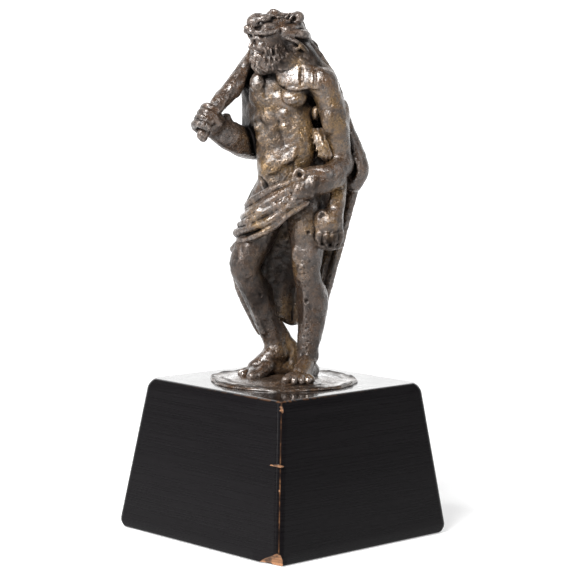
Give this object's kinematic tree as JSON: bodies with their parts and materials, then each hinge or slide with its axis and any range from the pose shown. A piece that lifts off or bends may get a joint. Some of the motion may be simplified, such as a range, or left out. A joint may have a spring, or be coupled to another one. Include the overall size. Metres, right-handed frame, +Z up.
{
  "type": "bronze hercules statuette",
  "caption": "Small cast bronze of a standing bearded hero with club and lion skin, on a thin round foot plate and a tapered square black wooden plinth.",
  "frame": {"origin": "centre of the plinth's underside", "axes": "+Z up; the plinth's sides lie along X and Y; the figure is turned so that it looks over the corner between +X and -Y"},
  "size_m": [0.0774, 0.0774, 0.1696],
  "materials": {
    "bronze": "dark brown patinated cast bronze, worn to golden brown",
    "black_wood": "ebonised, semi-gloss, worn to raw wood on the edges"
  },
  "bodies": {
    "root": {"bronze_figure": "bronze", "wooden_plinth": "black_wood"}
  },
  "joints": []
}
